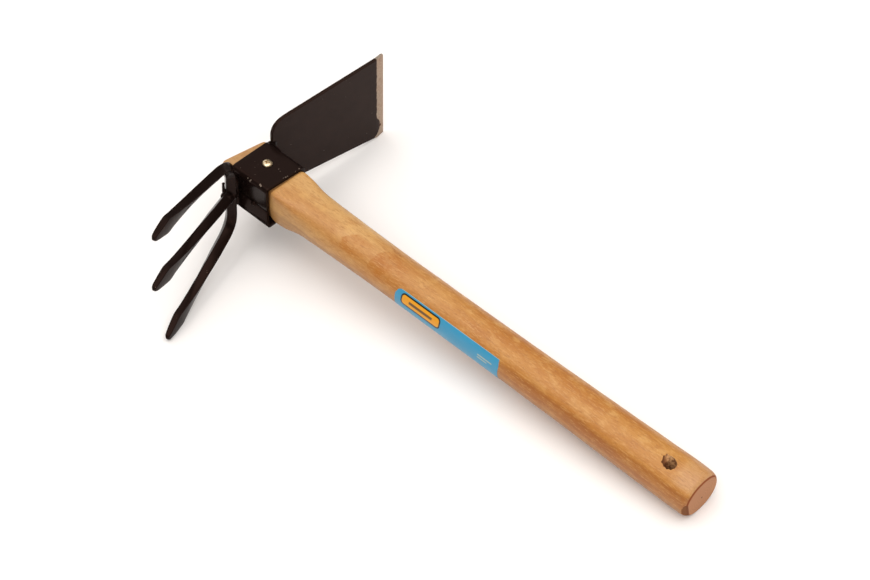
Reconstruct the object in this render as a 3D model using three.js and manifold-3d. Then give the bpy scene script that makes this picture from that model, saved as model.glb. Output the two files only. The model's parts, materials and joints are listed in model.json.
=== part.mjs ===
// Hand cultivator: a short wooden handle driven through a folded steel socket, with a hoe blade
// welded to one side of the socket and a three-tine fork welded to the other.
//
// Everything is built in the tool's own frame, in millimetres: the origin is the centre of the
// socket, +X runs along the handle towards its butt, +Y points to the blade, -Y to the tines, and
// +Z is the side of the socket that carries the screw. At the end the whole tool is tilted so
// that it lies on the ground as it does when it is put down: on the rim of the butt, the lower
// corner of the blade and the tip of the lower tine.
import * as THREE from 'three';
import { mergeVertices } from 'three/addons/utils/BufferGeometryUtils.js';
import Module from 'manifold-3d';

const wasm = await Module();
wasm.setup();

const vec = (x, y, z = 0) => new THREE.Vector3(x, y, z);

// ---------------------------------------------------------------- driving dimensions, mm
const clearance = 0.3; // between pieces that touch on the real tool

const handleLength = 401.3;
const noseReach = 24.5; // from the socket's centre to the head end of the handle
const noseSkew = 0.21; // the head end is sawn off out of square: this much of X for each unit of Y
const buttEnd = handleLength - noseReach;
const handleSides = 48;
const hangHole = { x: 354.9, y: -2.3, radius: 4.4 };

const socket = { length: 34.7, width: 34.4, height: 33.1, sheet: 2.2, bend: 3.6 };
const seam = { height: -4.2, gap: 0.8 }; // where the two ends of the folded strip meet
const flap = { lean: 2.3, bend: 2.8 }; // below the seam the strip leans out to a tighter bend
const headEnd = -socket.length / 2;
const bladeSide = socket.width / 2;
const tineSide = -socket.width / 2;
const topSide = socket.height / 2;

const blade = {
  reach: 97.9, // from the socket to the cutting edge
  tilt: THREE.MathUtils.degToRad(7.9), // leans towards the butt
  rootHalf: 31.2, // half height where it meets the socket
  edgeHalf: 39, // half height at the cutting edge
  rise: 1.6, // its centre line sits this far above the socket's
  thickness: 2.8,
  edgeThickness: 0.5,
  bevel: 8,
  rootCorner: 13,
  edgeCorner: 3, // the upper end of the cutting edge is dubbed off
};

const bar = { size: 6.6, corner: 1.5 }; // the square bar that the fork is forged from
const fork = {
  x: -11.8, // centre of the crossbar
  y: -24.9,
  bendHeight: 29.2, // the crossbar's two bends, above and below its middle
  sweep: THREE.MathUtils.degToRad(17.8), // turns the outer tines towards the butt
  // An outer tine's tip is `reach` out from the crossbar and `height` above or below its middle,
  // and the tine bows outwards between its bend and its tip.
  upper: { reach: 97, height: 50.7, bow: 3, bend: 5 },
  lower: { reach: 94.8, height: 51.4, bow: 0.8, bend: 13 },
  middleTip: { x: 13.3, y: -119.6 },
};
// The forged end of a tine, from the tip backwards: a blunt point that widens to a shoulder and
// then narrows again, and is drawn down a little where it leaves the plain bar.
const tineEnd = [
  { fromTip: 0, width: 3.2, depth: 2.6 },
  { fromTip: 2, width: 5.2, depth: 3.8 },
  { fromTip: 15, width: 12, depth: 4.8 },
  { fromTip: 19, width: 11.6, depth: 4.9 },
  { fromTip: 38, width: 7.4, depth: 5.2 },
  { fromTip: 60, width: 6.2, depth: 6.2 },
  { fromTip: 84, width: bar.size, depth: bar.size },
];

const screw = {
  x: -2.4, y: 0.9, headRadius: 3.6, headHeight: 2, shankRadius: 1.9, point: 4, reach: 16,
};
const pilotRadius = screw.shankRadius + clearance;

// The label is wrapped round the tine side of the handle, between two angles from +Y to +Z.
const label = { start: 131.5, end: 222, topAngle: 141, bottomAngle: 236, film: 0.25 };

const bladeFillet = { alongSocket: 10, alongBlade: 4 };
const bladeBead = { low: 15.6, high: 20, proud: 1.6 }; // over the seam at the head end
const forkWeld = { low: -13, high: 4, spread: 7.1 };
const collar = { half: 5, endHalf: 4.2, length: 4 };
const crossbarBead = { radius: 3.1, height: 1.4 };
const seamBead = { x: 2, z: -5.5, radius: 2.6, height: 1.3 };

// ---------------------------------------------------------------- materials
const finish = (color, roughness, metalness) =>
  new THREE.MeshStandardMaterial({ color, roughness, metalness });
const wood = finish(0xd9a468, 0.5, 0);
const lacquer = finish(0x2b2220, 0.3, 0.2);
const plating = finish(0xd8c48c, 0.3, 1);
const printedFilm = finish(0x4ba3cc, 0.35, 0);

// ---------------------------------------------------------------- helpers
function toSolid(geometry) {
  const bare = geometry.clone();
  bare.deleteAttribute('normal');
  bare.deleteAttribute('uv');
  const merged = mergeVertices(bare, 1e-4);
  const mesh = new wasm.Mesh({
    numProp: 3,
    vertProperties: new Float32Array(merged.attributes.position.array),
    triVerts: new Uint32Array(merged.index.array),
  });
  return new wasm.Manifold(mesh);
}

function cut(geometry, ...cutters) {
  const whole = toSolid(geometry);
  const left = cutters.reduce((solid, cutter) => solid.subtract(toSolid(cutter)), whole);
  const mesh = left.getMesh();
  const result = new THREE.BufferGeometry();
  result.setAttribute('position', new THREE.BufferAttribute(mesh.vertProperties, 3));
  result.setIndex(new THREE.BufferAttribute(mesh.triVerts, 1));
  result.computeVertexNormals();
  return result;
}

// A closed skin over a row of rings with equal numbers of points. Each ring turns anticlockwise
// as seen from the end that the row runs towards.
function loft(rings) {
  const sides = rings[0].length;
  const points = rings.flat();
  const triangles = [];
  for (let row = 0; row + 1 < rings.length; row++) {
    for (let side = 0; side < sides; side++) {
      const a = row * sides + side;
      const b = row * sides + ((side + 1) % sides);
      triangles.push(a, b, b + sides, a, b + sides, a + sides);
    }
  }
  const centreOf = (ring) =>
    ring.reduce((sum, point) => sum.add(point), vec(0, 0)).divideScalar(sides);
  const firstCentre = points.length;
  const lastCentre = points.length + 1;
  points.push(centreOf(rings[0]), centreOf(rings.at(-1)));
  const lastRow = (rings.length - 1) * sides;
  for (let side = 0; side < sides; side++) {
    const next = (side + 1) % sides;
    triangles.push(firstCentre, next, side, lastCentre, lastRow + side, lastRow + next);
  }
  const geometry = new THREE.BufferGeometry().setFromPoints(points);
  geometry.setIndex(triangles);
  geometry.computeVertexNormals();
  return geometry;
}

// The named fields at a place along a list of stations sorted by `key`, by straight lines.
function between(stations, key, place, fields) {
  const found = stations.findLastIndex((station) => station[key] <= place);
  const low = THREE.MathUtils.clamp(found, 0, stations.length - 2);
  const [a, b] = [stations[low], stations[low + 1]];
  const share = THREE.MathUtils.clamp((place - a[key]) / (b[key] - a[key]), 0, 1);
  return fields.map((field) => THREE.MathUtils.lerp(a[field], b[field], share));
}

// A low round weld bead, flat underneath, standing on `foot` and pointing along `axis`.
function dome(radius, height, foot, axis) {
  const profile = [new THREE.Vector2(0, 0), new THREE.Vector2(radius, 0)];
  for (const lift of [0.35, 0.7, 0.92]) {
    profile.push(new THREE.Vector2(radius * Math.sqrt(1 - lift * lift), height * lift));
  }
  profile.push(new THREE.Vector2(0, height));
  const turn = new THREE.Quaternion().setFromUnitVectors(vec(0, 1), axis);
  return new THREE.LatheGeometry(profile, 16).applyQuaternion(turn).translate(...foot);
}

// A weld run up a vertical joint. Its flat section at a height is a list of X and Y, which is
// pinched towards `pinch` at both ends of the run.
function weldRun(sectionAt, pinch, low, high) {
  const rows = [[0, 0.5], [0.08, 0.85], [0.2, 1], [0.8, 1], [0.92, 0.85], [1, 0.5]];
  return loft(rows.map(([share, size]) => {
    const z = THREE.MathUtils.lerp(low, high, share);
    return sectionAt(z).map(([x, y]) => vec(...pinch).lerp(vec(x, y), size).setZ(z));
  }));
}

// ---------------------------------------------------------------- handle
// Half width (Y), half height (Z) and squareness of the section along the handle. Squareness is
// the exponent of a superellipse: 2 is an oval and 12 is nearly a rectangle.
const seatWidth = socket.width / 2 - socket.sheet - clearance;
const seatHeight = socket.height / 2 - socket.sheet - clearance;
const handleStations = [
  { x: -noseReach, width: seatWidth - 0.5, height: seatHeight - 0.5, square: 14 },
  { x: -noseReach + 1.2, width: seatWidth, height: seatHeight, square: 16 },
  { x: -headEnd + clearance, width: seatWidth, height: seatHeight, square: 12 },
  { x: -headEnd + 1, width: 15.1, height: 14.45, square: 12 },
  { x: 25, width: 15.15, height: 14.5, square: 10 },
  { x: 30, width: 15.2, height: 14.55, square: 6.3 },
  { x: 35, width: 15.15, height: 14.6, square: 4 },
  { x: 40, width: 15.1, height: 14.6, square: 3.1 },
  { x: 50, width: 15.2, height: 14.65, square: 2.6 },
  { x: 70, width: 15.3, height: 14.8, square: 2.25 },
  { x: 100, width: 15.05, height: 14.5, square: 2.1 },
  { x: 140, width: 14.85, height: 14.3, square: 2.1 },
  { x: 180, width: 14.9, height: 14.4, square: 2.1 },
  { x: 220, width: 15.1, height: 14.5, square: 2.1 },
  { x: 260, width: 15.4, height: 14.7, square: 2.1 },
  { x: 300, width: 15.95, height: 15, square: 2.1 },
  { x: 340, width: 16.35, height: 15.2, square: 2.15 },
  { x: buttEnd - 4, width: 16.3, height: 15.1, square: 2.2 },
  { x: buttEnd - 1.2, width: 15.4, height: 14.1, square: 2.2 },
  { x: buttEnd, width: 14, height: 12.6, square: 2.2 },
];

// A point on the handle's surface, or `out` millimetres off it, at an angle from +Y towards +Z.
function handlePoint(x, angle, out = 0) {
  const [width, height, square] = between(handleStations, 'x', x, ['width', 'height', 'square']);
  const rounded = (value) => Math.sign(value) * Math.abs(value) ** (2 / square);
  return vec(x, (width + out) * rounded(Math.cos(angle)), (height + out) * rounded(Math.sin(angle)));
}

// The first two rings, at the head end, follow the skewed saw cut.
const handleRings = handleStations.map(({ x }, ring) => Array.from({ length: handleSides },
  (_, side) => {
    const point = handlePoint(x, (side / handleSides) * 2 * Math.PI);
    return ring < 2 ? point.setX(x + noseSkew * point.y) : point;
  }));

// The hang hole is drilled a little off the centre line, upright as the tool lies.
function makeHandle(upright) {
  const drill = new THREE.CylinderGeometry(hangHole.radius, hangHole.radius, 60, 24);
  drill.applyQuaternion(new THREE.Quaternion().setFromUnitVectors(vec(0, 1), upright));
  drill.translate(hangHole.x, hangHole.y, 0);
  const pilot = new THREE.CylinderGeometry(pilotRadius, pilotRadius, 2 * screw.reach + 4, 16);
  pilot.rotateX(Math.PI / 2).translate(screw.x, screw.y, topSide);
  return cut(loft(handleRings), drill, pilot);
}

// ---------------------------------------------------------------- socket
// A strip folded round the handle, with rounded bends and its two ends meeting at the seam.
function makeSocket() {
  const { width, height, sheet, bend } = socket;
  const [right, up] = [width / 2 - bend, height / 2 - bend]; // centre of a bend
  const [flapRight, flapUp] = [width / 2 + flap.lean - flap.bend, height / 2 - flap.bend];
  const [seamLow, seamHigh] = [seam.height - seam.gap / 2, seam.height + seam.gap / 2];
  const quarter = Math.PI / 2;
  const inner = bend - sheet;
  const strip = new THREE.Shape();
  strip.moveTo(-width / 2, seamLow);
  strip.absarc(-flapRight, -flapUp, flap.bend, 2 * quarter, 3 * quarter);
  strip.absarc(right, -up, bend, -quarter, 0);
  strip.absarc(right, up, bend, 0, quarter);
  strip.absarc(-right, up, bend, quarter, 2 * quarter);
  strip.lineTo(-width / 2, seamHigh);
  strip.lineTo(sheet - width / 2, seamHigh);
  strip.absarc(-right, up, inner, 2 * quarter, quarter, true);
  strip.absarc(right, up, inner, quarter, 0, true);
  strip.absarc(right, -up, inner, 0, -quarter, true);
  strip.absarc(-flapRight, -flapUp, flap.bend - sheet, 3 * quarter, 2 * quarter, true);
  strip.lineTo(sheet - width / 2, seamLow);
  strip.closePath();
  const tube = new THREE.ExtrudeGeometry(strip,
    { depth: socket.length, bevelEnabled: false, curveSegments: 6 });
  // The strip is drawn in X and Y, which become the tool's Y and Z.
  tube.applyMatrix4(new THREE.Matrix4().makeBasis(vec(0, 1), vec(0, 0, 1), vec(1, 0)));
  tube.translate(headEnd, 0, 0);
  const hole = new THREE.CylinderGeometry(pilotRadius, pilotRadius, 4 * sheet, 16);
  hole.rotateX(Math.PI / 2).translate(screw.x, screw.y, topSide);
  return cut(tube, hole);
}

// ---------------------------------------------------------------- blade
const rootGap = clearance + blade.thickness * Math.sin(blade.tilt);
const bladeAlong = vec(Math.sin(blade.tilt), Math.cos(blade.tilt));
const bladeFacing = vec(Math.cos(blade.tilt), -Math.sin(blade.tilt)); // towards the butt

// Where the blade's butt-facing side is, at a distance of y from the tool's centre.
function bladeFaceX(y) {
  const rise = Math.sin(blade.tilt) * (y - bladeSide - rootGap);
  return headEnd + (blade.thickness + rise) / Math.cos(blade.tilt);
}

function makeBlade() {
  const { rootHalf, edgeHalf, rootCorner, edgeCorner, thickness, edgeThickness, bevel } = blade;
  const reach = blade.reach - rootGap;
  const halfAt = (place) => THREE.MathUtils.lerp(rootHalf, edgeHalf, place / reach);
  const pull = rootCorner / 3; // how far the corner's curve hugs its two sides
  const outline = new THREE.Shape();
  outline.moveTo(0, rootCorner - rootHalf);
  outline.bezierCurveTo(0, pull - rootHalf, pull, -halfAt(pull), rootCorner, -halfAt(rootCorner));
  outline.lineTo(reach, -edgeHalf);
  outline.lineTo(reach, edgeHalf - edgeCorner);
  outline.quadraticCurveTo(reach, edgeHalf, reach - edgeCorner, halfAt(reach - edgeCorner));
  outline.lineTo(rootCorner, halfAt(rootCorner));
  outline.bezierCurveTo(pull, halfAt(pull), 0, rootHalf - pull, 0, rootHalf - rootCorner);
  outline.closePath();
  const plate = new THREE.ExtrudeGeometry(outline,
    { depth: thickness, bevelEnabled: false, curveSegments: 10 });
  // A tilted block takes the butt-facing side down to the cutting edge.
  const grind = new THREE.BoxGeometry(6 * bevel, 3 * edgeHalf, 2 * bevel).translate(0, 0, bevel);
  grind.rotateY(Math.atan2(thickness - edgeThickness, bevel));
  grind.translate(reach - bevel, 0, thickness);
  const ground = cut(plate, grind);
  ground.applyMatrix4(new THREE.Matrix4().makeBasis(bladeAlong, vec(0, 0, 1), bladeFacing));
  return ground.translate(headEnd, bladeSide + rootGap, blade.rise);
}

function makeBladeFillet() {
  const foot = bladeSide + clearance;
  const tip = foot + bladeFillet.alongBlade;
  const inner = [bladeFaceX(foot) + clearance, foot];
  const section = [inner, [inner[0] + bladeFillet.alongSocket, foot],
    [inner[0] + 2.6, foot + 1.4], [bladeFaceX(tip) + clearance, tip]];
  return weldRun(() => section, inner, 1 - topSide, topSide - 0.4);
}

function makeBladeBead() {
  const face = headEnd - clearance;
  const { low, high, proud } = bladeBead;
  const section = [[face, low], [face, high], [face - 0.75 * proud, high - 0.7],
    [face - proud, (low + high) / 2], [face - 0.75 * proud, low + 0.7]];
  return weldRun(() => section, [face, (low + high) / 2], 2 - topSide, topSide - 2);
}

// ---------------------------------------------------------------- fork
const crossbar = vec(fork.x, fork.y);
const forkAlong = vec(Math.sin(fork.sweep), -Math.cos(fork.sweep));
const forkFacing = vec(-forkAlong.y, forkAlong.x); // towards the butt

// The bar's section at a distance from the tip: `across` and `facing` are its two directions.
function barRing(centre, across, facing, fromTip) {
  const [width, depth] = between(tineEnd, 'fromTip', fromTip, ['width', 'depth']);
  const [w, d] = [width / 2, depth / 2];
  const chamfer = Math.min(bar.corner * 0.7, 0.3 * width, 0.3 * depth);
  const corners = [[d, w - chamfer], [d - chamfer, w], [chamfer - d, w], [-d, w - chamfer],
    [-d, chamfer - w], [chamfer - d, -w], [d - chamfer, -w], [d, chamfer - w]];
  return corners.map(([f, a]) =>
    centre.clone().addScaledVector(facing, f).addScaledVector(across, a));
}

// Forges a bar along a list of points: `tipAt` says how far each point is from the nearest tip.
function forge(points, facing, tipAt) {
  return loft(points.map((point, index) => {
    const before = points[Math.max(index - 1, 0)];
    const after = points[Math.min(index + 1, points.length - 1)];
    const along = after.clone().sub(before).normalize();
    return barRing(point, along.clone().cross(facing), facing, tipAt(index));
  }));
}

// Half of the bent bar, from its middle to one tip, in the fork's own plane: X along the outer
// tines' direction and Y away from the middle. It has a point at each change of section.
function halfForkPath({ reach, height, bow, bend }) {
  const flat = (x, y) => new THREE.Vector2(x, y);
  const corner = flat(0, fork.bendHeight);
  const tip = flat(reach, height);
  const middle = corner.clone().lerp(tip, 0.5).add(flat(0, 2 * bow));
  const tine = new THREE.QuadraticBezierCurve(corner, middle, tip);
  const length = tine.getLength();
  const bendEnd = tine.getPointAt(bend / length);
  const turn = new THREE.QuadraticBezierCurve(flat(0, corner.y - bend), corner, bendEnd);
  const forged = tineEnd.map((station) => 1 - station.fromTip / length);
  const plain = [0.3, 0.47, 0.54, 0.66, 0.72];
  const shares = [...plain, ...forged].sort((a, b) => a - b);
  return [flat(0, 0), ...turn.getPoints(8), ...shares.map((share) => tine.getPointAt(share))];
}

function makeForkBar() {
  const upper = halfForkPath(fork.upper);
  const lower = halfForkPath(fork.lower).map(({ x, y }) => new THREE.Vector2(x, -y)).reverse();
  const flat = [...lower.slice(0, -1), ...upper];
  const points = flat.map(({ x, y }) => crossbar.clone().addScaledVector(forkAlong, x).setZ(y));
  const travelled = [0];
  for (let index = 1; index < points.length; index++) {
    travelled.push(travelled[index - 1] + points[index].distanceTo(points[index - 1]));
  }
  const total = travelled.at(-1);
  return forge(points, forkFacing, (index) =>
    Math.min(travelled[index], total - travelled[index]));
}

const middleTip = vec(fork.middleTip.x, fork.middleTip.y);
const middleAlong = middleTip.clone().sub(crossbar).normalize();
const middleRoot = bar.size / 2 + 1.5 * clearance; // clear of the crossbar's tine-side face

function makeMiddleTine() {
  const root = crossbar.clone().addScaledVector(middleAlong, middleRoot);
  const length = root.distanceTo(middleTip);
  const fromTips = [...tineEnd.map((station) => station.fromTip), length];
  const points = fromTips.map((fromTip) => middleTip.clone().lerp(root, fromTip / length));
  const facing = vec(-middleAlong.y, middleAlong.x);
  return forge(points, facing, (index) => fromTips[index]);
}

// The weld round the middle tine's root, a square collar that hugs the bar.
function makeCollar() {
  const facing = vec(-middleAlong.y, middleAlong.x);
  const square = (half, place, chamfer) => {
    const centre = crossbar.clone().addScaledVector(middleAlong, place);
    return [[1, 1 - chamfer], [1 - chamfer, 1], [chamfer - 1, 1], [-1, 1 - chamfer],
      [-1, chamfer - 1], [chamfer - 1, -1], [1 - chamfer, -1], [1, chamfer - 1]].map(([f, z]) =>
      centre.clone().addScaledVector(facing, f * half).setZ(z * half));
  };
  const [start, end] = [middleRoot, middleRoot + collar.length];
  const outside = loft([square(collar.half, start, 0.4), square(0.9 * collar.half, start + 1.6, 0.4),
    square(collar.endHalf, end, 0.3)]);
  const bore = bar.size / 2 + clearance;
  return cut(outside, loft([square(bore, start - 2, 0.1), square(bore, end + 2, 0.1)]));
}

// The weld that fills the gap between the crossbar and the tine side of the socket, whose flap
// leans out below the seam.
function makeForkWeld() {
  const flapHeight = seam.height - flap.bend + topSide;
  const wallAt = (z) => tineSide - clearance - flap.lean * Math.max(0, seam.height - z) / flapHeight;
  const onBar = (place) => crossbar.clone().addScaledVector(forkFacing, place)
    .addScaledVector(forkAlong, -bar.size / 2 - clearance);
  const [headward, buttward] = [onBar(-2), onBar(1.8)];
  const sectionAt = (z) => [[fork.x - 3.2, wallAt(z)], [headward.x, headward.y],
    [buttward.x, buttward.y], [fork.x + forkWeld.spread, wallAt(z)]];
  return weldRun(sectionAt, [fork.x, tineSide - flap.lean], forkWeld.low, forkWeld.high);
}

function makeCrossbarBead() {
  const foot = crossbar.clone().addScaledVector(forkFacing, bar.size / 2 + clearance);
  return dome(crossbarBead.radius, crossbarBead.height, foot, forkFacing);
}

function makeSeamBead() {
  const foot = vec(seamBead.x, tineSide - clearance, seamBead.z);
  return dome(seamBead.radius, seamBead.height, foot, vec(0, -1));
}

// ---------------------------------------------------------------- screw
function makeScrew() {
  const { headRadius, headHeight, shankRadius, point, reach } = screw;
  const profile = [[0, -reach], [0.4, -reach], [shankRadius, point - reach], [shankRadius, 0],
    [headRadius, 0], [headRadius, 0.25 * headHeight], [0.85 * headRadius, 0.65 * headHeight],
    [0.5 * headRadius, 0.93 * headHeight], [0, headHeight]];
  const turned = new THREE.LatheGeometry(profile.map((pair) => new THREE.Vector2(...pair)), 24);
  return turned.rotateX(Math.PI / 2).translate(screw.x, screw.y, topSide + clearance);
}

// ---------------------------------------------------------------- label
// A thin film bent round the handle: a flat grid with its points moved onto the handle's skin.
function makeLabel() {
  const grid = new THREE.BoxGeometry(1, 1, 1, 12, 10, 1);
  const place = grid.attributes.position;
  for (let index = 0; index < place.count; index++) {
    const x = THREE.MathUtils.lerp(label.start, label.end, place.getX(index) + 0.5);
    const angle = THREE.MathUtils.lerp(label.bottomAngle, label.topAngle, place.getY(index) + 0.5);
    const out = clearance + label.film * (place.getZ(index) + 0.5);
    place.setXYZ(index, ...handlePoint(x, THREE.MathUtils.degToRad(angle), out));
  }
  return grid;
}

// ---------------------------------------------------------------- the tool on the ground
function pointsOf(geometry) {
  const place = geometry.attributes.position;
  return Array.from({ length: place.count }, (_, index) => vec(0, 0).fromBufferAttribute(place, index));
}

// The upward direction when the lowest point of each of three pieces touches the ground.
function restingUp(supports) {
  let up = vec(0, 0, 1);
  for (let round = 0; round < 8; round++) {
    const [a, b, c] = supports.map((points) =>
      points.reduce((low, point) => (point.dot(up) < low.dot(up) ? point : low)));
    up = b.clone().sub(a).cross(c.clone().sub(a)).normalize();
    up.multiplyScalar(Math.sign(up.z));
  }
  return up;
}

const bladeGeometry = makeBlade();
const forkGeometry = makeForkBar();
const up = restingUp([handleRings.slice(-4).flat(), pointsOf(bladeGeometry), pointsOf(forkGeometry)]);

const pieces = [
  ['handle', makeHandle(up), wood],
  ['socket', makeSocket(), lacquer],
  ['blade', bladeGeometry, lacquer],
  ['fork_bar', forkGeometry, lacquer],
  ['middle_tine', makeMiddleTine(), lacquer],
  ['blade_weld_front', makeBladeFillet(), lacquer],
  ['blade_weld_back', makeBladeBead(), lacquer],
  ['fork_weld', makeForkWeld(), lacquer],
  ['middle_tine_weld', makeCollar(), lacquer],
  ['crossbar_bead', makeCrossbarBead(), lacquer],
  ['seam_weld', makeSeamBead(), lacquer],
  ['screw', makeScrew(), plating],
  ['label', makeLabel(), printedFilm],
];

const tool = new THREE.Group();
for (const [name, geometry, material] of pieces) {
  const mesh = new THREE.Mesh(geometry, material);
  mesh.name = name;
  tool.add(mesh);
}
tool.quaternion.setFromUnitVectors(up, vec(0, 0, 1));

// The origin is the middle of the tool's box, on the ground.
const cultivator = new THREE.Group();
cultivator.add(tool);
cultivator.updateMatrixWorld(true);
const box = new THREE.Box3().setFromObject(cultivator, true);
const centre = box.getCenter(vec(0, 0));
tool.position.set(-centre.x, -centre.y, -box.min.z);

export default cultivator;
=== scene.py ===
# The looks of a hand cultivator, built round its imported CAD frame.
#
# Shapes are worked out in the tool's own frame, in millimetres: the origin is the socket's centre,
# X runs along the handle to its butt, Y to the hoe blade, -Y to the tines, and Z to the side of the
# socket that carries the screw. TOOL takes a point of that frame to the part's own, in metres.
import json
import math

import bmesh
import bpy
import numpy as np
from mathutils import Matrix, Vector, noise


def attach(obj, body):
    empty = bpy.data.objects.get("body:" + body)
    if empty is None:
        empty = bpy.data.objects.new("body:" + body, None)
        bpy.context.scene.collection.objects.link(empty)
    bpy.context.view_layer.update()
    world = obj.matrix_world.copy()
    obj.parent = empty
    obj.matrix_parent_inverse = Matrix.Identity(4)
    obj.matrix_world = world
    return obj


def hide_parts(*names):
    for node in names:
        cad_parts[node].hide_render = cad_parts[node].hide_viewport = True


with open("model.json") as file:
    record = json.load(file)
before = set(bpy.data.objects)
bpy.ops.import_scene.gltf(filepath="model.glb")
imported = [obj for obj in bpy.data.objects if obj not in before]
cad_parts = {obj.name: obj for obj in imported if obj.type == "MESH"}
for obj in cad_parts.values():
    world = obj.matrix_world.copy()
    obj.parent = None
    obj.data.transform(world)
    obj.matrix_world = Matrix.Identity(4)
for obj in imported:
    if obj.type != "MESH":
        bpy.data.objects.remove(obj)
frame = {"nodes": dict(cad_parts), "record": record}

MM = 0.001
TURN = 2 * math.pi
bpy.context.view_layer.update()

# ---------------------------------------------------------------- the tool's frame
mounts = {mount["name"]: mount for mount in frame["record"]["mounts"]}
butt_point = Vector(mounts["butt_face"]["pos_m"])
axis_x = Vector(mounts["butt_face"]["axis"]).normalized()
axis_z = -Vector(mounts["socket_lower_face"]["axis"]).normalized()
axis_y = axis_z.cross(axis_x).normalized()


def extent(node, axis):
    """Lowest and highest place of a CAD node along an axis through the part's origin, in metres."""
    places = [vertex.co.dot(axis) for vertex in frame["nodes"][node].data.vertices]
    return min(places), max(places)


def middle(node, axis):
    return sum(extent(node, axis)) / 2


# The butt's middle is on the handle's centre line, and the socket's extents give its own centre.
tool_origin = (axis_x * middle("socket", axis_x) + axis_y * butt_point.dot(axis_y)
               + axis_z * middle("socket", axis_z))
TOOL = Matrix((axis_x, axis_y, axis_z)).transposed().to_4x4() @ Matrix.Scale(MM, 4)
TOOL.translation = tool_origin
up_in_tool = (TOOL.to_3x3().inverted() @ Vector((0, 0, 1))).normalized()


def size_of(node, axis):
    low, high = extent(node, axis)
    return (high - low) / MM


# ---------------------------------------------------------------- dimensions, mm
clearance = 0.3
butt_end = (butt_point - tool_origin).dot(axis_x) / MM
butt_round = 6  # length of the rounded stretch at the butt
nose_end = -24.5
nose_skew = 0.21  # this much of X for each unit of Y
nose_half_width = 16.9  # the sawn end is bruised wider than the socket's inside
socket_length = size_of("socket", axis_x)
socket_height = size_of("socket", axis_z)
socket_half_width = 17.2
sheet, sheet_edge_round = 2.2, 0.55
bend = 3.6
flap_lean = 2.9
flap_bend = 2.8
seam_height = -4.2
seam_gap = 0.9
socket_skew = -0.042
head_end, lip_end = -socket_length / 2, socket_length / 2
top_side = socket_height / 2
# The strip's butt end is drawn back by lip_draw_back at the seam. That dies out over lip_draw_below
# downwards, and falls to corner_draw_back at the top corner and to nothing across the top.
lip_draw_back, corner_draw_back = 3.3, 1.5
lip_draw_above, lip_draw_below = top_side - seam_height, 12.3

blade_tilt = math.radians(7.9)
blade_reach = 97.9
blade_thickness = 2.8
blade_edge_thickness = 0.5
blade_bevel = 8
blade_root_half = 31.2
blade_edge_half = 39
blade_rise = 1.6
blade_root_corner = 13
blade_edge_corner = 3
blade_rim_round = 0.8
blade_root_gap = clearance + blade_thickness * math.sin(blade_tilt)

bar_size, bar_corner = 7.1, 0.8
crossbar = Vector((-12.2, -24.9, 0))
fork_sweep = math.radians(17.5)
bend_height = 29.2
crossbar_lean = 0.3
# Each tine: reach and height of its tip, bow, length of its bend, the twist of its stem in degrees,
# and how far from the tip the twist is complete. It starts at twist_start for all three.
upper_tine = {"reach": 98, "height": 52, "bow": 3, "bend": 13, "twist": 32, "twisted": 60}
lower_tine = {"reach": 94.2, "height": 52.2, "bow": 0.8, "bend": 13, "twist": 35, "twisted": 72}
twist_start = 18
middle_tip = Vector((12.8, -119.6, 0))
middle_twist, middle_twisted = 38, 76
# How far from a tip the outer bar leaves its tine's twist and has reached the crossbar's.
crossbar_twist, tine_twist_ends, crossbar_twist_starts = 39, 84, 104
# Distance from the tip, width across the fork and depth through it.
tine_end = [
    (0, 1.8, 1.6), (0.5, 3.2, 2.6), (1.3, 4.4, 3.4), (3, 5.5, 4), (6, 7.1, 4.4), (10, 9.2, 4.7),
    (14, 11.2, 4.9), (16, 12, 5), (17.5, 12, 5), (22, 10.7, 5.2), (30, 9, 5.6), (38, 7.9, 6),
    (60, 6.9, 6.8), (84, bar_size, bar_size), (200, bar_size, bar_size),
]

screw_place = Vector((-2.4, 0.9, top_side))
hang_hole = Vector((354.9, -2.3, 0))
hang_hole_radius = 4.3

label_start, label_end = 131.5, 222
label_top, label_bottom = 141, 236  # angles in degrees from +Y to +Z
label_corner = 5
film_lift, film_thickness = 0.16, 0.12  # how far its outer face stands off the wood, and how thick it is
label_radius = 14.6

# A flat is pared off the butt's rim, on its tine side: its length along the handle, its direction,
# and how far from the centre line it is where it starts and where it ends.
facet_length, facet_start, facet_end = 2.9, 16.6, 12.2
facet_towards = Vector((0, math.cos(math.radians(193)), math.sin(math.radians(193))))

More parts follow.
